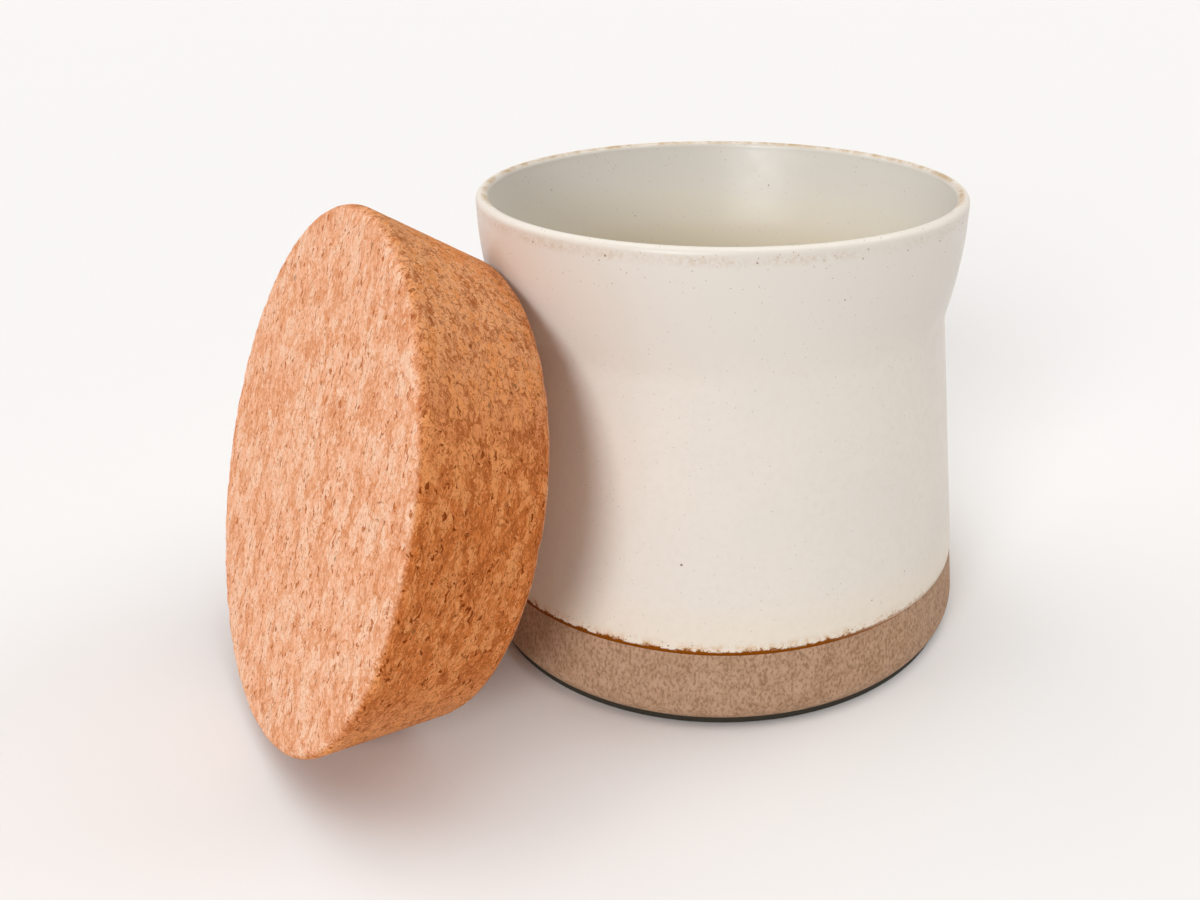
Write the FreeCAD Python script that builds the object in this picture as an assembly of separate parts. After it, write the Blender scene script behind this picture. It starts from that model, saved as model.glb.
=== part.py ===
import FreeCAD, Part
import math
import os

# Squat stoneware canister, open, with its tapered cork lid leaning against its neck.
# Millimetres, +Z up. The origin is on the canister's axis, on the surface that it stands on.
# The lid stands on that surface too, out along -X.

# Canister, outside: a body that narrows to a waist, and a neck that opens again to the rim
HEIGHT = 107.0
RIM_RADIUS = 56.4
WAIST_RADIUS = 52.9
WAIST_HEIGHT = 79.5
BASE_RADIUS = 61.1        # where the flank would meet the ground if the edge were sharp
BASE_ROUNDING = 6.6
WAIST_BLEND = 10.0

# Canister, wall
LIP_THICKNESS = 2.8
WALL = 4.2
FLOOR_THICKNESS = 5.5
INSIDE_ROUNDING = 9.0

# Cork lid: it plugs the mouth by its taper and stays partly proud
LID_THICKNESS = 30.0
PLUG_CLEARANCE = 3.4      # how much less the small end's radius is than the mouth's
TOP_OVERLAP = 3.7         # how much more the large end's radius is than the mouth's
LID_ROUNDING = 2.1

# The lid's lean: small end towards the canister, standing on the small end's edge
LEAN_ANGLE = 19.1         # degrees from upright
LEAN_TURN = 4.8           # degrees that its axis swings past the canister's axis
LEAN_GAP = 0.2            # between the lid's edge and the neck

UP = FreeCAD.Vector(0, 0, 1)
ORIGIN = FreeCAD.Vector(0, 0, 0)


def at(radius, height):
    return FreeCAD.Vector(radius, 0, height)


def line(start, end):
    return Part.LineSegment(start, end).toShape()


def arc(start, middle, end):
    return Part.Arc(start, middle, end).toShape()


def flared(waist, rim):
    """Curve from the waist up to the rim that ends upright at the rim."""
    flare = rim.x - waist.x
    rise = rim.z - waist.z
    radius = (flare ** 2 + rise ** 2) / (2 * flare)
    half_turn = math.asin(rise / radius) / 2
    middle = at(rim.x - radius + radius * math.cos(half_turn), rim.z - radius * math.sin(half_turn))
    return arc(waist, middle, rim)


def rounded_corner(before, corner, after, radius):
    """The start, middle and end of the arc that rounds a corner between two straight edges."""
    back = (before - corner).normalize()
    ahead = (after - corner).normalize()
    half_angle = back.getAngle(ahead) / 2
    centre = corner + (back + ahead).normalize() * (radius / math.sin(half_angle))
    reach = radius / math.tan(half_angle)
    middle = centre + (corner - centre).normalize() * radius
    return corner + back * reach, middle, corner + ahead * reach


def revolved(edges):
    return Part.Face(Part.Wire(edges)).revolve(ORIGIN, UP, 360)


def canister():
    """Outer and inner profile in one loop: axis, underside, flank, neck, lip, and down inside."""
    lip_radius = LIP_THICKNESS / 2
    lip_height = HEIGHT - lip_radius
    mouth_radius = RIM_RADIUS - LIP_THICKNESS

    waist = at(WAIST_RADIUS, WAIST_HEIGHT)
    rim = at(RIM_RADIUS, lip_height)
    lip = at(RIM_RADIUS - lip_radius, HEIGHT)
    mouth = at(mouth_radius, lip_height)
    inner_waist = at(WAIST_RADIUS - WALL, WAIST_HEIGHT)

    # The inner flank runs parallel to the outer one.
    slope = (BASE_RADIUS - WAIST_RADIUS) / WAIST_HEIGHT
    inner_base = at(BASE_RADIUS - WALL - slope * FLOOR_THICKNESS, FLOOR_THICKNESS)
    floor_centre = at(0, FLOOR_THICKNESS)

    foot = rounded_corner(ORIGIN, at(BASE_RADIUS, 0), waist, BASE_ROUNDING)
    well = rounded_corner(inner_waist, inner_base, floor_centre, INSIDE_ROUNDING)

    shape = revolved([
        line(ORIGIN, foot[0]),
        arc(*foot),
        line(foot[2], waist),
        flared(waist, rim),
        arc(rim, lip, mouth),
        flared(inner_waist, mouth),
        line(inner_waist, well[0]),
        arc(*well),
        line(well[2], floor_centre),
        line(floor_centre, ORIGIN),
    ])
    creases = [edge for edge in shape.Edges
               if edge.BoundBox.ZMax - edge.BoundBox.ZMin < 0.01
               and abs(edge.BoundBox.ZMax - WAIST_HEIGHT) < 0.01]
    return shape.makeFillet(WAIST_BLEND, creases)


def upright_lid():
    """The lid with its small end down on the ground, about the origin's axis."""
    mouth_radius = RIM_RADIUS - LIP_THICKNESS
    small = at(mouth_radius - PLUG_CLEARANCE, 0)
    large = at(mouth_radius + TOP_OVERLAP, LID_THICKNESS)
    top_centre = at(0, LID_THICKNESS)
    small_edge = rounded_corner(ORIGIN, small, large, LID_ROUNDING)
    large_edge = rounded_corner(small, large, top_centre, LID_ROUNDING)
    return revolved([
        line(ORIGIN, small_edge[0]),
        arc(*small_edge),
        line(small_edge[2], large_edge[0]),
        arc(*large_edge),
        line(large_edge[2], top_centre),
        line(top_centre, ORIGIN),
    ])


def slid(shape, direction, target, gap):
    """Slide a shape, by no more than the room left each time, until the gap to the target is met."""
    room = shape.distToShape(target)[0] - gap
    while room > 0.001:
        shape.translate(direction * room)
        room = shape.distToShape(target)[0] - gap


def leaning_lid(jar):
    """Tip the lid up on edge, lower it to the ground, and slide it in until it all but touches."""
    lid = upright_lid()
    lid.rotate(ORIGIN, FreeCAD.Vector(0, 1, 0), LEAN_ANGLE - 90)
    lid.rotate(ORIGIN, UP, LEAN_TURN)
    reach = BASE_RADIUS + RIM_RADIUS + TOP_OVERLAP + LID_THICKNESS
    lid.translate(FreeCAD.Vector(-reach, 0, reach))
    ground = Part.makePlane(4 * reach, 4 * reach, FreeCAD.Vector(-2 * reach, -2 * reach, 0))
    slid(lid, -UP, ground, 0)
    slid(lid, FreeCAD.Vector(1, 0, 0), jar, LEAN_GAP)
    return lid


def main():
    jar = canister()
    lid = leaning_lid(jar)
    os.makedirs("parts", exist_ok=True)
    jar.exportStep("parts/stoneware_canister.step")
    lid.exportStep("parts/cork_lid.step")


main()
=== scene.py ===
import bpy
import math
from mathutils import Matrix, Vector, noise


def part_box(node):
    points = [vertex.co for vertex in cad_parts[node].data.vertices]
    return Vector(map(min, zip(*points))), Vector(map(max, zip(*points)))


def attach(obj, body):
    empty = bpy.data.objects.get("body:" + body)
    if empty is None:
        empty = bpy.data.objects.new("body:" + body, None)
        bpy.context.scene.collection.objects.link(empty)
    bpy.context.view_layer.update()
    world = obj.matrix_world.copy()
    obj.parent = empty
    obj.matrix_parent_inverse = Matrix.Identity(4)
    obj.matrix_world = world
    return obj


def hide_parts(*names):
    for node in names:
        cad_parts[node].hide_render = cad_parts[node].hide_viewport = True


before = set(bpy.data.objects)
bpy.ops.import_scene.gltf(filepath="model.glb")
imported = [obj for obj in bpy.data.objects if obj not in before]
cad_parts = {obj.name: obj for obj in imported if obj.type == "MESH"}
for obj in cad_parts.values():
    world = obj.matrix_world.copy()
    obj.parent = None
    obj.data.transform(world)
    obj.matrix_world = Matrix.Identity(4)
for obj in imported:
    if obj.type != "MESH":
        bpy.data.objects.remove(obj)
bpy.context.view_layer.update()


# ---------------------------------------------------------------------------------------------
# Canister. A squat pot thrown in speckled stoneware and trimmed to a straight flank, a waist and
# a flared neck. It is dipped in a satin ivory glaze, which is wiped off the foot, so that a band
# of bare clay shows under the glaze's rusty edge.

JAR_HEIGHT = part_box("stoneware_canister")[1].z
RIM_RADIUS = 0.0564
WAIST_RADIUS = 0.0529
WAIST_HEIGHT = 0.0795
BASE_RADIUS = 0.0611          # where the flank would meet the ground without its rounding
BASE_ROUNDING = 0.0066
WAIST_SOFTNESS = 0.0007
INNER_WAIST_SOFTNESS = 0.0020
INNER_FLARE = 0.1             # how much more the inside of the neck opens at the rim
LIP_THICKNESS = 0.0028
LIP_CENTRE = JAR_HEIGHT - LIP_THICKNESS / 2
WALL = 0.0042
JAR_FLOOR = 0.0055
INSIDE_ROUNDING = 0.009
FOOT_RADIUS = 0.0581          # the pot stands on a low foot, set in from its rounded corner, with painted shade on it
FOOT_HEIGHT = 0.0017
FOOT_EASING = 0.0006          # rounding of the foot's lower corner
FOOT_FILLET = 0.0002          # between the foot and the underside that it stands out from
UNDERSIDE_RISE = 0.0003       # of the underside, from the foot to the rounded corner
UNDERSIDE_EASING = 0.00012
GLAZE_THICKNESS = 0.00022
GLAZE_EDGE_HEIGHT = 0.0190
GLAZE_EDGE_WAVE = 0.0003
GLAZE_EDGE_ROUNDING = 0.0006
FAR_ABOVE_EDGE = 0.05         # stands for the whole glazed inside
THROWING_RINGS = 0.00005      # depth of the rings that the thrower's fingers leave
RINGS_PER_METRE = 140
SWELL = 0.00006               # of the soft hollows that a hand leaves in the wall
SWELLS_ROUND = 1.3
SWELLS_PER_METRE = 18
OUT_OF_ROUND = 0.00035        # most at the rim, and none at the waist
TOWARDS_BACK = (0.481, 0.877, 0)         # two level ways from the axis, by which thin glaze
TOWARDS_RIGHT = (0.877, -0.481, 0)       # and rust favour one side of the pot
JAR_SEGMENTS = 320
WALL_STEP = 0.0009            # from ring to ring of the mesh, up the wall
FLAT_STEP = 0.004             # and across the underside and the inside floor
AXIS_MARGIN = 0.001           # points nearer the axis than this stay where they are

IVORY = (0.785, 0.71, 0.625, 1)
IVORY_GREY = (0.75, 0.69, 0.62, 1)
IVORY_WARM = (0.80, 0.70, 0.575, 1)
NECK_PAINTED_SHADE = (0.735, 0.675, 0.605, 1)
IVORY_COOL = (0.705, 0.665, 0.60, 1)
STRAW_PAINTED_BOUNCE = (0.765, 0.69, 0.55, 1)
LIP_CREAM = (0.735, 0.67, 0.588, 1)
THIN_GLAZE_TAN = (0.43, 0.28, 0.12, 1)
STAIN_TAN = (0.48, 0.29, 0.115, 1)
IRON_BROWN = (0.15, 0.065, 0.022, 1)
IRON_TAN = (0.26, 0.125, 0.040, 1)
RUST = (0.265, 0.072, 0.0004, 1)
RUST_TAN = (0.56, 0.27, 0.045, 1)
CLAY = (0.385, 0.222, 0.125, 1)
CLAY_PALE = (0.50, 0.315, 0.20, 1)
CLAY_DARK = (0.22, 0.115, 0.058, 1)
FOOT_PAINTED_SHADE = (0.022, 0.017, 0.008, 1)


def smoothest(a, b, softness):
    """The larger of two radii, with the corner between them rounded off."""
    overlap = max(softness - abs(a - b), 0) / softness
    return max(a, b) + overlap * overlap * softness / 4


def neck_radius(height):
    """Outside of the neck: an arc that stands upright at the rim and comes in to the waist."""
    flare = RIM_RADIUS - WAIST_RADIUS
    rise = LIP_CENTRE - WAIST_HEIGHT
    arc = (flare ** 2 + rise ** 2) / (2 * flare)
    below = min(LIP_CENTRE - height, arc)
    return RIM_RADIUS - arc + math.sqrt(arc ** 2 - below ** 2)


def flank_radius(height):
    return BASE_RADIUS + (WAIST_RADIUS - BASE_RADIUS) * height / WAIST_HEIGHT


def outer_radius(height):
    return smoothest(flank_radius(height), neck_radius(height), WAIST_SOFTNESS)


def inner_radius(height):
    """Inside the neck the wall opens almost straight, a little faster towards the rim."""
    share = (height - WAIST_HEIGHT) / (LIP_CENTRE - WAIST_HEIGHT)
    opening = RIM_RADIUS - LIP_THICKNESS - (WAIST_RADIUS - WALL)
    neck = WAIST_RADIUS - WALL + opening * share * (1 - INNER_FLARE + INNER_FLARE * share)
    return smoothest(flank_radius(height) - WALL, neck, INNER_WAIST_SOFTNESS)


def bend(centre_radius, centre_height, radius, start, end, steps):
    """Points of an arc, in degrees from the outward direction."""
    points = []
    for step in range(steps + 1):
        angle = math.radians(start + (end - start) * step / steps)
        out = radius * math.cos(angle)
        up = radius * math.sin(angle)
        points.append((centre_radius + out, centre_height + up))
    return points


def spread(start, end, step):
    """Even places from start to end, both included, about a step apart."""
    count = max(1, round(abs(end - start) / step))
    return [start + (end - start) * i / count for i in range(count + 1)]


def jar_profile():
    """Radius and height from the middle of the underside, up the outside, and down the inside."""
    lean = math.degrees(math.atan2(BASE_RADIUS - WAIST_RADIUS, WAIST_HEIGHT))
    corner_top = BASE_ROUNDING * (1 + math.sin(math.radians(lean)))
    corner_radius = flank_radius(corner_top) - BASE_ROUNDING * math.cos(math.radians(lean))
    undercut = math.degrees(math.asin((FOOT_HEIGHT + UNDERSIDE_RISE) / BASE_ROUNDING - 1))
    corner = bend(corner_radius, BASE_ROUNDING, BASE_ROUNDING, undercut, lean, steps=11)
    arris = corner[0][0]
    foot = [
        (FOOT_RADIUS - FOOT_EASING, 0.0),
        (FOOT_RADIUS - FOOT_EASING / 6, FOOT_EASING / 3),
        (FOOT_RADIUS, FOOT_EASING),
        (FOOT_RADIUS, FOOT_HEIGHT - FOOT_FILLET),
        (FOOT_RADIUS + FOOT_FILLET, FOOT_HEIGHT),
        (arris - UNDERSIDE_EASING, FOOT_HEIGHT + UNDERSIDE_EASING * 2 / 3),
    ]
    well_height = JAR_FLOOR + INSIDE_ROUNDING * (1 + math.sin(math.radians(lean)))
    well_centre = inner_radius(well_height) - INSIDE_ROUNDING * math.cos(math.radians(lean))
    well = bend(well_centre, JAR_FLOOR + INSIDE_ROUNDING, INSIDE_ROUNDING, lean, -90, steps=12)
    lip = bend(RIM_RADIUS - LIP_THICKNESS / 2, LIP_CENTRE, LIP_THICKNESS / 2, 0, 180, steps=14)
    up_outside = spread(corner_top, LIP_CENTRE, WALL_STEP)[1:-1]
    down_inside = spread(LIP_CENTRE, well_height, WALL_STEP)[1:-1]
    profile = [(radius, 0.0) for radius in spread(0.0, foot[0][0], FLAT_STEP)[1:-1]]
    profile += foot + corner
    profile += [(outer_radius(height), height) for height in up_outside]
    profile += lip
    profile += [(inner_radius(height), height) for height in down_inside]
    profile += well
    profile += [(radius, JAR_FLOOR) for radius in spread(well[-1][0], 0.0, FLAT_STEP)[1:-1]]
    return profile


def turned(name, profile, segments, start_height, end_height):
    """A closed solid of revolution about Z, with a point at each end of the profile on the axis."""
    vertices = [(0, 0, start_height)]
    for radius, height in profile:
        for segment in range(segments):
            angle = 2 * math.pi * segment / segments
            vertices.append((radius * math.cos(angle), radius * math.sin(angle), height))
    vertices.append((0, 0, end_height))
    last = len(vertices) - 1
    faces = []
    for segment in range(segments):
        beside = (segment + 1) % segments
        faces.append((0, 1 + beside, 1 + segment))
        for ring in range(len(profile) - 1):
            low = 1 + ring * segments
            high = low + segments
            faces.append((low + segment, low + beside, high + beside, high + segment))
        top = 1 + (len(profile) - 1) * segments
        faces.append((top + segment, top + beside, last))
    mesh = bpy.data.meshes.new(name)
    mesh.from_pydata(vertices, [], faces)
    mesh.polygons.foreach_set("use_smooth", [True] * len(mesh.polygons))
    mesh.update()
    piece = bpy.data.objects.new(name, mesh)
    bpy.context.scene.collection.objects.link(piece)
    return piece


def glaze_edge(angle):
    """Height of the wiped glaze edge, which waves a little on its way round the pot."""
    wave = 0.6 * math.sin(angle + 0.4)
    wave += 0.3 * math.sin(3 * angle + 1.9)
    wave += 0.2 * math.sin(7 * angle)
    return GLAZE_EDGE_HEIGHT + GLAZE_EDGE_WAVE * wave


def throw_and_dip(pot, profile):
    """Make the pot a little uneven, step its glaze over the clay, and store where the edges are.

    Two values go with every point: its height above the glaze's edge, and how far round the lip
    it is, from 0 outside the pot to 1 inside.
    """
    mesh = pot.data
    crest = max(range(len(profile)), key=lambda ring: profile[ring][1])
    above = mesh.attributes.new("above_glaze_edge", "FLOAT", "POINT")
    inward = mesh.attributes.new("turn_over_lip", "FLOAT", "POINT")
    for index, vertex in enumerate(mesh.vertices):
        x, y, z = vertex.co
        radius = math.hypot(x, y)
        angle = math.atan2(y, x)
        inside = index > 1 + (crest + 1) * JAR_SEGMENTS
        height = FAR_ABOVE_EDGE if inside else z - glaze_edge(angle)
        above.data[index].value = height
        lip_turn = math.atan2(z - LIP_CENTRE, radius - RIM_RADIUS + LIP_THICKNESS / 2)
        inward.data[index].value = lip_turn / math.pi if z >= LIP_CENTRE else float(inside)
        covered = min(max(height / GLAZE_EDGE_ROUNDING, 0), 1)
        wiped = GLAZE_THICKNESS * (1 - math.sqrt(1 - (1 - covered) ** 2))
        ring = noise.noise(Vector((0.3, 7.1, z * RINGS_PER_METRE)))
        around = (math.cos(angle) * SWELLS_ROUND, math.sin(angle) * SWELLS_ROUND)
        swell = noise.noise(Vector((*around, z * SWELLS_PER_METRE)))
        rim = max(0, (z - WAIST_HEIGHT) / (JAR_HEIGHT - WAIST_HEIGHT))
        oval = rim * (0.5 + 0.5 * math.cos(2 * angle - 0.9)) + 0.4 * rim * (1 + swell) / 2
        wobble = THROWING_RINGS * (1 + ring) / 2 + SWELL * (1 + swell) + OUT_OF_ROUND * oval
        if radius > AXIS_MARGIN:
            fade = min(z / BASE_ROUNDING, 1)
            scale = 1 - fade * (wobble + (0 if inside else wiped)) / radius
            vertex.co.x = x * scale
            vertex.co.y = y * scale
    mesh.update()


def shader(name, roughness):
    """A new material with its Principled BSDF, ready for its nodes."""
    material = bpy.data.materials.new(name)
    material.use_nodes = True
    bsdf = material.node_tree.nodes["Principled BSDF"]
    bsdf.inputs["Roughness"].default_value = roughness
    return material, material.node_tree, bsdf


def add_node(tree, kind, out=0, **settings):
    """Add a node, set its properties and sockets, and give back the output asked for.

    A setting whose name is a property of the node sets that property. Any other is a socket, by
    its name with _ for a space or, as s0 and s1, by its place: a value is written to it, and an
    output is linked to it.
    """
    node = tree.nodes.new(kind)
    sockets = {}
    for key, value in settings.items():
        if hasattr(node, key):
            setattr(node, key, value)
        else:
            sockets[key] = value
    for key, value in sockets.items():
        label = int(key[1:]) if key[1:].isdigit() else key.replace("_", " ")
        socket = node.inputs[label]
        if isinstance(value, bpy.types.NodeSocket):
            tree.links.new(value, socket)
        else:
            socket.default_value = value
    return node.outputs[out]


def worked_out(tree, operation, a, b):
    """Join two values, each of them a number or another node's output, by one operation."""
    return add_node(tree, "ShaderNodeMath", operation=operation, s0=a, s1=b)


def plus(tree, a, b):
    return worked_out(tree, "ADD", a, b)


def minus(tree, a, b):
    return worked_out(tree, "SUBTRACT", a, b)


def times(tree, a, b):
    return worked_out(tree, "MULTIPLY", a, b)


def divided(tree, a, b):
    return worked_out(tree, "DIVIDE", a, b)


def is_less(tree, a, b):
    return worked_out(tree, "LESS_THAN", a, b)


def larger(tree, a, b):
    return worked_out(tree, "MAXIMUM", a, b)


def ramped(tree, value, low, high, start=0.0, end=1.0):
    """Map a value from low..high to start..end, clamped and eased."""
    return add_node(tree, "ShaderNodeMapRange", interpolation_type="SMOOTHSTEP", Value=value,
                    From_Min=low, From_Max=high, To_Min=start, To_Max=end)


def blended(tree, mask, under, over):
    """Lay one colour over another by a mask."""
    node = tree.nodes.new("ShaderNodeMix")
    node.data_type = "RGBA"
    factor_and_colours = (node.inputs[0], node.inputs[6], node.inputs[7])
    for socket, value in zip(factor_and_colours, (mask, under, over)):
        if isinstance(value, bpy.types.NodeSocket):
            tree.links.new(value, socket)
        else:
            socket.default_value = value
    return node.outputs[2]


def ridge(tree, value, middle, reach):
    """1 where a value is at its middle, falling to 0 at this reach either side."""
    offset = minus(tree, value, middle)
    distance = add_node(tree, "ShaderNodeMath", operation="ABSOLUTE", s0=offset)
    return ramped(tree, distance, 0.0, reach, 1.0, 0.0)


def group_of(name, inputs, outputs):
    """An empty node group with named sockets, and its input and output nodes."""
    group = bpy.data.node_groups.new(name, "ShaderNodeTree")
    for label, kind, value in inputs:
        socket = group.interface.new_socket(label, in_out="INPUT", socket_type=kind)
        if value is not None:
            socket.default_value = value
    for label, kind in outputs:
        group.interface.new_socket(label, in_out="OUTPUT", socket_type=kind)
    return group, group.nodes.new("NodeGroupInput"), group.nodes.new("NodeGroupOutput")


def scattered_marks():
    """Small marks scattered at random: iron specks, grits in clay, rust freckles, flecks of bark.

    Spacing is the mean distance between places for a mark, Share is the part of them that hold
    one, and Size is a mark's radius as a share of the spacing.
    """
    group, given, result = group_of(
        "scattered_marks",
        [("Vector", "NodeSocketVector", None), ("Spacing", "NodeSocketFloat", 0.002),
         ("Share", "NodeSocketFloat", 0.5), ("Size", "NodeSocketFloat", 0.2),
         ("Softness", "NodeSocketFloat", 0.5)],
        [("Mask", "NodeSocketFloat")])
    scale = divided(group, 1.0, given.outputs["Spacing"])
    cells = group.nodes.new("ShaderNodeTexVoronoi")
    group.links.new(given.outputs["Vector"], cells.inputs["Vector"])
    group.links.new(scale, cells.inputs["Scale"])
    channels = group.nodes.new("ShaderNodeSeparateColor")
    group.links.new(cells.outputs["Color"], channels.inputs["Color"])
    held = is_less(group, channels.outputs["Red"], given.outputs["Share"])
    own_size = ramped(group, channels.outputs["Green"], 0.0, 1.0, 0.45, 1.0)
    size = times(group, given.outputs["Size"], own_size)
    core = times(group, size, minus(group, 1.0, given.outputs["Softness"]))
    mark = ramped(group, cells.outputs["Distance"], core, size, 1.0, 0.0)
    group.links.new(times(group, mark, held), result.inputs["Mask"])
    return group


def marks(tree, vector, spacing, share, size, softness=0.5):
    """Place the group of scattered marks with its own values, and give back its mask."""
    node = tree.nodes.new("ShaderNodeGroup")
    node.node_tree = MARKS
    tree.links.new(vector, node.inputs["Vector"])
    node.inputs["Spacing"].default_value = spacing
    node.inputs["Share"].default_value = share
    node.inputs["Size"].default_value = size
    node.inputs["Softness"].default_value = softness
    return node.outputs["Mask"]


def mottle(tree, vector, size, detail=3.0, roughness=0.5):
    """Soft noise whose patches are about this size, in metres."""
    return add_node(tree, "ShaderNodeTexNoise", Vector=vector, Scale=1 / size, Detail=detail,
                    Roughness=roughness)


def along(tree, place, direction):
    """How far a place lies in one direction from the pot's axis."""
    return add_node(tree, "ShaderNodeVectorMath", out="Value", operation="DOT_PRODUCT",
                    s0=place, s1=direction)


MARKS = scattered_marks()


def glaze_tones(tree, place, height, above, turn, outside):
    """Ivory, greyer in drifts, warmer where it pools above its edge, and with painted shade on the
    neck.

    Inside the pot it is cool near the rim, and further down it is painted straw, as painted bounced
    light.
    """
    drift = ramped(tree, mottle(tree, place, 0.03), 0.35, 0.65, 0.2, 0.8)
    glaze = blended(tree, drift, IVORY, IVORY_GREY)
    pooled = ramped(tree, above, 0.0005, 0.016, 0.75, 0.0)
    glaze = blended(tree, pooled, glaze, IVORY_WARM)
    cloud = ramped(tree, mottle(tree, place, 0.0016, detail=4.0), 0.40, 0.70, 0.0, 0.045)
    glaze = blended(tree, cloud, glaze, THIN_GLAZE_TAN)
    # Painted shade: the outside of the neck is greyed, as the shade under its downturned flare
    neck = ramped(tree, height, WAIST_HEIGHT - 0.0020, WAIST_HEIGHT + 0.0100, 0.0, 0.9)
    glaze = blended(tree, times(tree, neck, outside), glaze, NECK_PAINTED_SHADE)
    # Painted light: deeper inside, the glaze is tinted straw for the warm light bounced round
    # within
    deep = ramped(tree, height, JAR_HEIGHT - 0.004, JAR_HEIGHT - 0.032)
    inside = blended(tree, deep, IVORY_COOL, STRAW_PAINTED_BOUNCE)
    return blended(tree, ramped(tree, turn, 0.62, 0.95), glaze, inside)


def lip_tones(tree, place, height, turn, outside, glaze):
    """Cream where the lip is rounded, tan over its inner edge, and stained in patches below.

    The tan is glaze that has run thin, most of all towards the back.
    """
    cream = ramped(tree, height, JAR_HEIGHT - 0.0022, JAR_HEIGHT - 0.0009)
    glaze = blended(tree, times(tree, cream, outside), glaze, LIP_CREAM)
    away = along(tree, place, TOWARDS_BACK)
    thin = times(tree, ridge(tree, turn, 0.62, 0.30), ramped(tree, away, -0.045, -0.005))
    broken = mottle(tree, place, 0.005, detail=5.0, roughness=0.7)
    thin = times(tree, thin, ramped(tree, broken, 0.38, 0.62, 0.25, 1.0))
    glaze = blended(tree, thin, glaze, THIN_GLAZE_TAN)
    stain = times(tree, ridge(tree, height, JAR_HEIGHT - 0.0024, 0.0017), outside)
    patches = mottle(tree, place, 0.010, detail=5.0, roughness=0.75)
    stain = times(tree, stain, ramped(tree, patches, 0.34, 0.64, 0.06, 0.36))
    grainy = mottle(tree, place, 0.0008, detail=3.0, roughness=0.6)
    stain = times(tree, stain, ramped(tree, grainy, 0.38, 0.62, 0.15, 1.0))
    return blended(tree, stain, glaze, STAIN_TAN)


def iron_specks(tree, place, height, outside, glaze):
    """Many faint fine specks, a row of tan ones under the lip, and a few dark ones."""
    fine = marks(tree, place, spacing=0.0012, share=0.7, size=0.18, softness=0.6)
    near_lip = ramped(tree, height, JAR_HEIGHT - 0.014, JAR_HEIGHT - 0.004, 0.30, 0.50)
    glaze = blended(tree, times(tree, fine, near_lip), glaze, IRON_BROWN)
    row = times(tree, ridge(tree, height, JAR_HEIGHT - 0.0029, 0.0024), outside)
    tan_specks = marks(tree, place, spacing=0.0016, share=0.85, size=0.22, softness=0.6)
    row = times(tree, row, tan_specks)
    glaze = blended(tree, times(tree, row, 0.85), glaze, IRON_TAN)
    bold = marks(tree, place, spacing=0.0050, share=0.30, size=0.075)
    return blended(tree, times(tree, bold, 0.85), glaze, IRON_BROWN)


def clay_tones(tree, place, height):
    """A taupe body packed with fine dark and pale grains, and painted shade on the foot.

    The grains are a little taller than they are wide. Their own pattern is given back too.
    """
    upright = add_node(tree, "ShaderNodeMapping", Vector=place, Scale=(1, 1, 0.6))
    body = mottle(tree, place, 0.0030, detail=3.0)
    clay = blended(tree, ramped(tree, body, 0.35, 0.65, 0.3, 1.0), CLAY_PALE, CLAY)
    grain = mottle(tree, upright, 0.00060, detail=3.0, roughness=0.6)
    clay = blended(tree, ramped(tree, grain, 0.47, 0.64, 0.0, 0.70), clay, CLAY_DARK)
    clay = blended(tree, ramped(tree, grain, 0.48, 0.34, 0.0, 0.65), clay, CLAY_PALE)
    grits = marks(tree, upright, spacing=0.0016, share=0.22, size=0.20, softness=0.8)
    clay = blended(tree, times(tree, grits, 0.30), clay, CLAY_DARK)
    # Painted shade: the foot is coloured nearly black for the shadow in the gap under the pot
    foot = ramped(tree, height, FOOT_HEIGHT - 0.0001, FOOT_HEIGHT + 0.0004, 1.0, 0.0)
    return blended(tree, foot, clay, FOOT_PAINTED_SHADE), grain


def rust_and_halo(tree, place, above, covered):
    """Where rust lines the glaze's edge and freckles up from it, and the tan halo over it.

    Both come and go along the edge, and fade towards the right.
    """
    strength = ramped(tree, along(tree, place, TOWARDS_RIGHT), 0.020, 0.056, 1.0, 0.12)
    ragged = minus(tree, mottle(tree, place, 0.0008, detail=4.0, roughness=0.7), 0.5)
    edge = plus(tree, above, times(tree, ragged, 0.0009))
    blots = mottle(tree, place, 0.0021, detail=5.0, roughness=0.75)
    bleed = ramped(tree, blots, 0.42, 0.70, 0.00060, 0.00185)
    line = ramped(tree, divided(tree, edge, bleed), 0.45, 1.0, 1.0, 0.0)
    line = times(tree, line, ramped(tree, above, -0.00044, -0.00026))
    freckles = marks(tree, place, spacing=0.0010, share=0.80, size=0.30)
    freckles = times(tree, freckles, covered)
    freckles = times(tree, freckles, ramped(tree, above, 0.0004, 0.0034, 0.95, 0.0))
    rust = times(tree, larger(tree, line, freckles), strength)
    halo = ramped(tree, above, 0.0002, 0.0032, 0.70, 0.0)
    halo = times(tree, halo, ramped(tree, blots, 0.40, 0.62))
    halo = times(tree, times(tree, halo, covered), strength)
    return rust, halo


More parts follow.
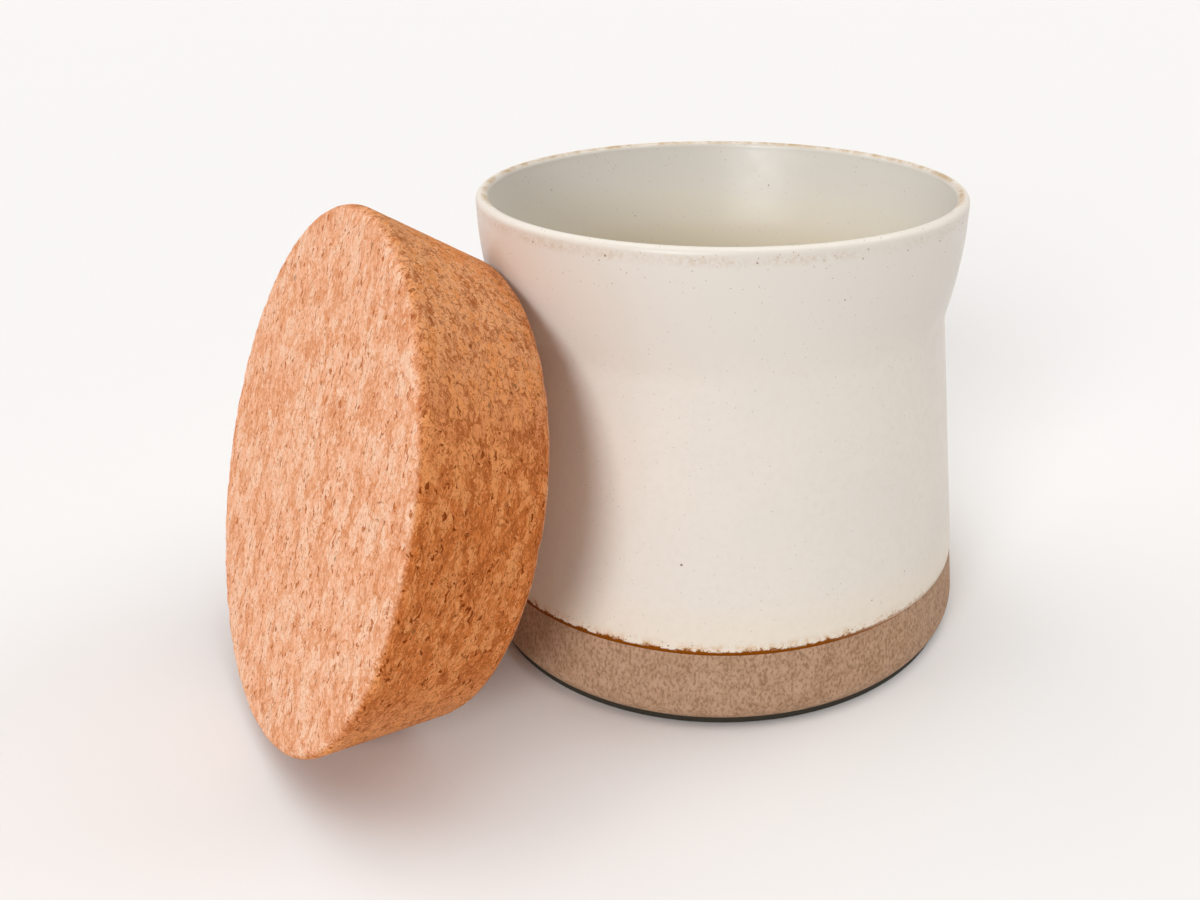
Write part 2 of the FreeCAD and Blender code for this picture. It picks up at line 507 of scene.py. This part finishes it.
def stoneware():
    """Ivory glaze over bare clay, with rust where they meet."""
    material, tree, bsdf = shader("speckled_ivory_stoneware", 0.4)
    place = add_node(tree, "ShaderNodeTexCoord", out="Object")
    height = add_node(tree, "ShaderNodeSeparateXYZ", out="Z", Vector=place)
    above = add_node(tree, "ShaderNodeAttribute", out="Fac", attribute_name="above_glaze_edge")
    turn = add_node(tree, "ShaderNodeAttribute", out="Fac", attribute_name="turn_over_lip")
    outside = ramped(tree, turn, 0.44, 0.60, 1.0, 0.0)
    covered = ramped(tree, above, -0.00008, 0.00008)
    bare = ramped(tree, covered, 0.0, 1.0, 1.0, 0.0)

    glaze = glaze_tones(tree, place, height, above, turn, outside)
    glaze = lip_tones(tree, place, height, turn, outside, glaze)
    glaze = iron_specks(tree, place, height, outside, glaze)
    clay, grain = clay_tones(tree, place, height)
    rust, halo = rust_and_halo(tree, place, above, covered)
    colour = blended(tree, covered, clay, glaze)
    colour = blended(tree, halo, colour, RUST_TAN)
    colour = blended(tree, rust, colour, RUST)
    tree.links.new(colour, bsdf.inputs["Base Color"])

    # The glaze is satin, and the clay and the rust are matt. The rust is iron: a metallic share
    # keeps a pale sheen off it, so that its colour stays deep
    tree.links.new(ramped(tree, rust, 0.0, 1.0, 0.0, 0.9), bsdf.inputs["Metallic"])
    satin = ramped(tree, mottle(tree, place, 0.005), 0.3, 0.7, 0.30, 0.42)
    matt = ramped(tree, covered, 0.0, 1.0, 0.5, 0.0)
    matt = larger(tree, matt, times(tree, rust, 0.4))
    tree.links.new(plus(tree, satin, matt), bsdf.inputs["Roughness"])

    # Relief: the glaze's gentle skin, and the tooth of the bare clay
    skin = mottle(tree, place, 0.0035, detail=2.0)
    tooth = times(tree, times(tree, grain, -0.9), bare)
    relief = plus(tree, times(tree, skin, 0.30), tooth)
    bump = add_node(tree, "ShaderNodeBump", Height=relief, Strength=0.5, Distance=0.00014)
    tree.links.new(bump, bsdf.inputs["Normal"])
    return material


JAR_PROFILE = jar_profile()
canister = turned("canister", JAR_PROFILE, JAR_SEGMENTS, 0.0, JAR_FLOOR)
throw_and_dip(canister, JAR_PROFILE)
canister.data.materials.append(stoneware())
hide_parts("stoneware_canister")
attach(canister, "root")


# ---------------------------------------------------------------------------------------------
# Cork lid. A thick slab of pressed cork flakes, turned to a tapered plug and sanded, with its
# edges eased. The flakes lie in the plane of the slab, so they show as short upright strokes.
# It stands on the edge of its small end and leans on the canister's neck.

LEAN_ANGLE = 19.1             # degrees from upright
LEAN_TURN = 4.8               # degrees past the canister's axis
LID_THICKNESS = 0.030
LID_SMALL_RADIUS = 0.0502
LID_LARGE_RADIUS = 0.0573
LID_ROUNDING = 0.0021
LID_SEGMENTS = 460
LID_STEP = 0.00078            # from ring to ring of the mesh
FLAKE_SIZE = 0.0021           # along the slab, of a middling flake
FLAKE_FLATNESS = 1.7          # times thinner through the slab
LARGE_FLAKE = 0.0034
SMALL_FLAKE = 0.0012
SEAM_SPACING = 0.0025
FIBRE = 0.00036
FLAKE_BEND = 0.0022           # full swing of a bend, to and fro
BENDS_PER_METRE = 620
DENT_DEPTH = 0.00010
DENTS_PER_FLAKE = 0.9
PIT_DEPTH = 0.00040
PITS_PER_FLAKE = 0.62
PIT_REACH = 0.20              # share of the way from one pit to the next
CHIP_DEPTH = 0.00045
CHIPS_PER_FLAKE = 0.8
CHIP_START = 0.05             # level of the noise from which a chip is out
UPRIGHT = 0.999               # sideways share of the normal where the surface stands upright

# The face's tones are paler and the side's deeper partly as the cork's own, the side being cut
# across the flakes, and partly as painted light on the face and painted shade on the side
FACE_PALE = (0.94, 0.60, 0.415, 1)
FACE_MID = (0.90, 0.45, 0.263, 1)
FACE_DEEP = (0.69, 0.240, 0.085, 1)
FACE_CRACK = (0.46, 0.105, 0.008, 1)
SIDE_PALE = (0.83, 0.330, 0.114, 1)
SIDE_MID = (0.645, 0.185, 0.043, 1)
SIDE_DEEP = (0.40, 0.098, 0.020, 1)
SIDE_CRACK = (0.23, 0.036, 0.0015, 1)
SIDE_PAINTED_LIGHT = (0.95, 0.51, 0.26, 1)
CORK_BARK = (0.20, 0.095, 0.030, 1)


def eased_corner(before, corner, after, radius, steps):
    """Points of the arc that rounds one corner of a profile."""
    back = (Vector(before) - Vector(corner)).normalized()
    ahead = (Vector(after) - Vector(corner)).normalized()
    half = back.angle(ahead) / 2
    centre = Vector(corner) + (back + ahead).normalized() * radius / math.sin(half)
    start = Vector(corner) + back * radius / math.tan(half) - centre
    end = Vector(corner) + ahead * radius / math.tan(half) - centre
    return [tuple(centre + start.slerp(end, step / steps) * radius) for step in range(steps + 1)]


def lid_profile():
    """Radius and height from the middle of the small end, up the side, to that of the large."""
    small = (LID_SMALL_RADIUS, 0.0)
    large = (LID_LARGE_RADIUS, LID_THICKNESS)
    lower = eased_corner((0, 0), small, large, LID_ROUNDING, 5)
    upper = eased_corner(small, large, (0, LID_THICKNESS), LID_ROUNDING, 5)
    side_start = Vector(lower[-1])
    side_end = Vector(upper[0])
    shares = spread(0, 1, LID_STEP / (side_end - side_start).length)[1:-1]
    side = [tuple(side_start.lerp(side_end, share)) for share in shares]
    bottom = [(radius, 0.0) for radius in spread(0.0, lower[0][0], LID_STEP)[1:-1]]
    top = [(radius, LID_THICKNESS) for radius in spread(upper[-1][0], 0.0, LID_STEP)[1:-1]]
    return bottom + lower + side + upper + top


def cork_depth(place, edge):
    """How far the surface lies below the turned shape: dents, pits, and chips along the edges."""
    flake = Vector((place.x, place.y, place.z * FLAKE_FLATNESS)) / FLAKE_SIZE
    dent = 0.5 + 0.5 * noise.noise(flake * DENTS_PER_FLAKE)
    pit_place = flake * PITS_PER_FLAKE + Vector((11.3, 5.7, 2.9))
    pit = max(0, 1 - noise.voronoi(pit_place)[0][0] / PIT_REACH)
    chip_place = flake * CHIPS_PER_FLAKE + Vector((0, 4.4, 8.8))
    chip = max(0, noise.noise(chip_place) - CHIP_START) * edge
    return DENT_DEPTH * dent + PIT_DEPTH * pit + CHIP_DEPTH * chip


def crumble(plug):
    """Sink the turned surface to cork's own relief, and store what the flakes' colours need.

    Two values go with every point: how far it faces sideways, as on the cut side, and how far it
    faces up or down, where the side carries painted light.
    """
    mesh = plug.data
    sides = mesh.attributes.new("cut_side", "FLOAT", "POINT")
    up_or_down = mesh.attributes.new("faces_up_or_down", "FLOAT", "POINT")
    normals = [vertex.normal.copy() for vertex in mesh.vertices]
    for index, vertex in enumerate(mesh.vertices):
        across = math.hypot(normals[index].x, normals[index].y)
        edge = 4 * across * (1 - across) if across < UPRIGHT else 0
        sides.data[index].value = across
        up_or_down.data[index].value = abs(normals[index].x)
        vertex.co -= normals[index] * cork_depth(vertex.co, edge)
    mesh.update()


def leaning_place():
    """Where the lid's small end is, and how the lid is turned, from the leaning solid's corners."""
    turn = Matrix.Rotation(math.radians(LEAN_TURN), 3, "Z")
    tip = Matrix.Rotation(math.radians(LEAN_ANGLE - 90), 3, "Y")
    axes = turn @ tip
    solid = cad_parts["cork_lid"].data.vertices
    own = [axes.transposed() @ vertex.co for vertex in solid]
    middle = [(min(p[i] for p in own) + max(p[i] for p in own)) / 2 for i in (0, 1)]
    middle.append(min(p.z for p in own))
    return axes @ Vector(middle), axes


def cell_tones(tree, vector, size):
    """A random level for each cell of this size."""
    cells = add_node(tree, "ShaderNodeTexVoronoi", out="Color", Vector=vector, Scale=1 / size)
    return add_node(tree, "ShaderNodeSeparateColor", out="Red", Color=cells)


def bend_flakes(tree, slab):
    """Places in the slab, bent to and fro so that flakes laid out by them have uneven outlines."""
    bend_map = add_node(tree, "ShaderNodeTexNoise", out="Color", Vector=slab,
                        Scale=BENDS_PER_METRE, Detail=3.0)
    shift = add_node(tree, "ShaderNodeVectorMath", operation="SUBTRACT", s0=bend_map,
                     s1=(0.5, 0.5, 0.5))
    shift = add_node(tree, "ShaderNodeVectorMath", operation="SCALE", s0=shift, Scale=FLAKE_BEND)
    return add_node(tree, "ShaderNodeVectorMath", operation="ADD", s0=slab, s1=shift)


def cork_tones(tree, side, end):
    """The pale, middle and deep tones of the flakes.

    The side is cut across them and shows deeper in tone, deepened further by painted shade.
    Where it faces up or down it carries painted light, as from above and from the floor.
    """
    # Painted light: the side is paler where it faces up, as if lit from above, and down, as if lit
    # by the floor
    side_mid = blended(tree, ramped(tree, end, 0.25, 0.95, 0.0, 0.85), SIDE_MID, SIDE_PAINTED_LIGHT)
    pale = blended(tree, side, FACE_PALE, SIDE_PALE)
    mid = blended(tree, side, FACE_MID, side_mid)
    deep = blended(tree, side, FACE_DEEP, SIDE_DEEP)
    return pale, mid, deep


def cork_cracks(tree, bent, place, side, end):
    """Open slits between the fibres, and hollows where dark chips have broken out."""
    slit_place = add_node(tree, "ShaderNodeMapping", Vector=bent, Scale=(0.42, 1, 1.3))
    slits = ramped(tree, mottle(tree, slit_place, 0.00110, detail=2.5), 0.625, 0.67)
    chips = marks(tree, place, spacing=FLAKE_SIZE, share=0.16, size=0.17, softness=0.55)
    cracks = larger(tree, slits, chips)
    cracks = times(tree, cracks, ramped(tree, side, 0.0, 1.0, 0.85, 0.95))
    # Fewer cracks where the side faces up or down, as part of that painted light
    return times(tree, cracks, ramped(tree, end, 0.25, 0.95, 1.0, 0.55))


def pressed_cork():
    """Bent flakes of cork, flat in the slab and longer one way, pressed into one another."""
    material, tree, bsdf = shader("pressed_cork", 0.9)
    bsdf.inputs["Specular IOR Level"].default_value = 0.05
    in_room = add_node(tree, "ShaderNodeTexCoord", out="Object")
    slab = add_node(tree, "ShaderNodeMapping", vector_type="TEXTURE", Vector=in_room,
                    Location=LID_PLACE, Rotation=LID_AXES.to_euler())
    bent = bend_flakes(tree, slab)
    place = add_node(tree, "ShaderNodeMapping", Vector=bent, Scale=(0.6, 1, FLAKE_FLATNESS))
    sideways = add_node(tree, "ShaderNodeAttribute", out="Fac", attribute_name="cut_side")
    side = ramped(tree, sideways, 0.45, 0.97)
    # How far the surface faces up or down, which places the painted light on the side
    end = add_node(tree, "ShaderNodeAttribute", out="Fac", attribute_name="faces_up_or_down")
    pale, mid, deep = cork_tones(tree, side, end)

    # Every flake has its own tone, and small flakes fill between the large ones
    large = cell_tones(tree, place, LARGE_FLAKE)
    small = cell_tones(tree, place, SMALL_FLAKE)
    tone = plus(tree, times(tree, large, 0.6), times(tree, small, 0.4))
    drift = mottle(tree, slab, 0.007, detail=2.0)
    tone = plus(tree, tone, ramped(tree, drift, 0.3, 0.7, -0.10, 0.10))
    colour = blended(tree, ramped(tree, tone, 0.18, 0.57), pale, mid)
    colour = blended(tree, ramped(tree, tone, 0.56, 0.90, 0.0, 0.75), colour, deep)

    # Fibres inside a flake, darker and paler than it
    fine_place = add_node(tree, "ShaderNodeMapping", Vector=bent, Scale=(0.28, 1, 1.2))
    fibres = mottle(tree, fine_place, FIBRE, detail=3.0, roughness=0.65)
    colour = blended(tree, ramped(tree, fibres, 0.50, 0.66, 0.0, 0.9), colour, deep)
    colour = blended(tree, ramped(tree, fibres, 0.50, 0.34, 0.0, 0.8), colour, pale)

    # Broken seams round the flakes, cracks, and flecks of bark
    seam = add_node(tree, "ShaderNodeTexVoronoi", feature="DISTANCE_TO_EDGE", Vector=place,
                    Scale=1 / SEAM_SPACING)
    seam = ramped(tree, seam, 0.01, 0.10, 1.0, 0.0)
    open_seam = ramped(tree, mottle(tree, slab, 0.0022, detail=2.0), 0.46, 0.60, 0.0, 0.75)
    colour = blended(tree, times(tree, seam, open_seam), colour, deep)
    cracks = cork_cracks(tree, bent, place, side, end)
    colour = blended(tree, cracks, colour, blended(tree, side, FACE_CRACK, SIDE_CRACK))
    bark = marks(tree, place, spacing=0.0048, share=0.45, size=0.16, softness=0.7)
    colour = blended(tree, times(tree, bark, 0.75), colour, CORK_BARK)
    tree.links.new(colour, bsdf.inputs["Base Color"])

    # Relief: fibres, small flakes and cracks lie lower the darker they are
    relief = plus(tree, times(tree, fibres, -1.0), times(tree, small, -0.3))
    relief = minus(tree, relief, times(tree, cracks, 0.3))
    bump = add_node(tree, "ShaderNodeBump", Height=relief, Strength=1.0, Distance=0.00028)
    tree.links.new(bump, bsdf.inputs["Normal"])
    return material


LID_PLACE, LID_AXES = leaning_place()
cork_lid = turned("cork_plug_lid", lid_profile(), LID_SEGMENTS, 0.0, LID_THICKNESS)
crumble(cork_lid)
cork_lid.data.transform(Matrix.Translation(LID_PLACE) @ LID_AXES.to_4x4())
cork_lid.data.materials.append(pressed_cork())
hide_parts("cork_lid")
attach(cork_lid, "root")


# ---------------------------------------------------------------------------------------------
# Floor. A wide plain off-white ground under both pieces, which takes their soft shadows.

FLOOR_RADIUS = 6.0
FLOOR_CORNERS = 32
FLOOR_SEEN = (0.848, 0.830, 0.817, 1)
FLOOR_BOUNCE = (0.86, 0.85, 0.84, 1)


def seen_directly(tree):
    """1 for what the camera sees, also in a reflection or through glass, and 0 for light."""
    rays = tree.nodes.new("ShaderNodeLightPath")
    seen = larger(tree, rays.outputs["Is Camera Ray"], rays.outputs["Is Glossy Ray"])
    return larger(tree, seen, rays.outputs["Is Transmission Ray"])


def ground():
    """A flat round of floor, which looks one colour and throws up light in a paler one."""
    mesh = bpy.data.meshes.new("floor")
    angles = [2 * math.pi * corner / FLOOR_CORNERS for corner in range(FLOOR_CORNERS)]
    corners = [(FLOOR_RADIUS * math.cos(a), FLOOR_RADIUS * math.sin(a), 0) for a in angles]
    mesh.from_pydata(corners, [], [tuple(range(FLOOR_CORNERS))])
    floor = bpy.data.objects.new("floor", mesh)
    bpy.context.scene.collection.objects.link(floor)
    material, tree, bsdf = shader("plain_off_white", 0.9)
    colour = blended(tree, seen_directly(tree), FLOOR_BOUNCE, FLOOR_SEEN)
    tree.links.new(colour, bsdf.inputs["Base Color"])
    bsdf.inputs["Specular IOR Level"].default_value = 0.1
    mesh.materials.append(material)
    return floor


ground()


# ---------------------------------------------------------------------------------------------
# Light. A wide window behind the camera's left shoulder shapes the pieces, and large soft lamps
# overhead and around the sides light everything evenly. The pale room shows in the glaze.

# Each lamp has its turn from the way to the camera, its height and its width, in degrees, then
# its level as a share of full brightness, and its colour.
LAMPS = {
    "window": (-22, 21, 25, 0.57, (0.98, 1.0, 1.03)),
    "right": (110, 34, 44, 0.17, (1.0, 0.98, 0.96)),
    "right_overhead": (95, 62, 46, 0.25, (1.0, 0.99, 0.97)),
    "left_overhead": (-110, 50, 56, 0.31, (1.0, 1.0, 1.0)),
    "behind": (180, 60, 50, 0.10, (1.0, 0.99, 0.97)),
    "top": (0, 90, 40, 0.185, (1.0, 1.0, 1.0)),
}
ROOM = (0.09, 0.09, 0.09, 1)
ROOM_SEEN = (0.93, 0.905, 0.89, 1)

CAMERA_TURN = 28.77           # degrees that the view is turned from +Y towards +X


def far_lamp(name, turn, height, width, level, colour):
    """A distant round lamp; turn is measured from the way to the camera."""
    lamp = bpy.data.lights.new(name, "SUN")
    lamp.energy = level * math.pi
    lamp.angle = math.radians(width)
    lamp.color = colour
    holder = bpy.data.objects.new(name, lamp)
    across = math.radians(turn - CAMERA_TURN)
    up = math.radians(height)
    away = Vector((math.sin(across) * math.cos(up), -math.cos(across) * math.cos(up), math.sin(up)))
    holder.rotation_euler = away.to_track_quat("Z", "Y").to_euler()
    bpy.context.scene.collection.objects.link(holder)


def room():
    """A room that gives a little light of its own and looks pale."""
    world = bpy.data.worlds.new("studio")
    bpy.context.scene.world = world
    world.use_nodes = True
    tree = world.node_tree
    colour = blended(tree, seen_directly(tree), ROOM, ROOM_SEEN)
    tree.links.new(colour, tree.nodes["Background"].inputs["Color"])


for lamp_name, (lamp_turn, lamp_height, lamp_width, lamp_level, lamp_colour) in LAMPS.items():
    far_lamp(lamp_name, lamp_turn, lamp_height, lamp_width, lamp_level, lamp_colour)
room()


# ---------------------------------------------------------------------------------------------
# Camera, looking down on the canister and past the lid from their front.

CAMERA_PLACE = (-0.12694, -0.22670, 0.16356)
CAMERA_DIP = 22.65            # degrees below level
CAMERA_ROLL = 0.29
CAMERA_LENS = 33.94
CAMERA_SENSOR = 36
CAMERA_SHIFT = (-0.0933, -0.0493)
CAMERA_RANGE = (0.01, 30)


def camera():
    data = bpy.data.cameras.new("camera")
    data.lens = CAMERA_LENS
    data.sensor_width = CAMERA_SENSOR
    data.shift_x, data.shift_y = CAMERA_SHIFT
    data.clip_start, data.clip_end = CAMERA_RANGE
    eye = bpy.data.objects.new("camera", data)
    bpy.context.scene.collection.objects.link(eye)
    turn = Matrix.Rotation(math.radians(-CAMERA_TURN), 4, "Z")
    dip = Matrix.Rotation(math.radians(90 - CAMERA_DIP), 4, "X")
    roll = Matrix.Rotation(math.radians(CAMERA_ROLL), 4, "Z")
    eye.matrix_world = Matrix.Translation(CAMERA_PLACE) @ turn @ dip @ roll
    bpy.context.scene.camera = eye


camera()
bpy.context.scene.view_settings.view_transform = "Standard"
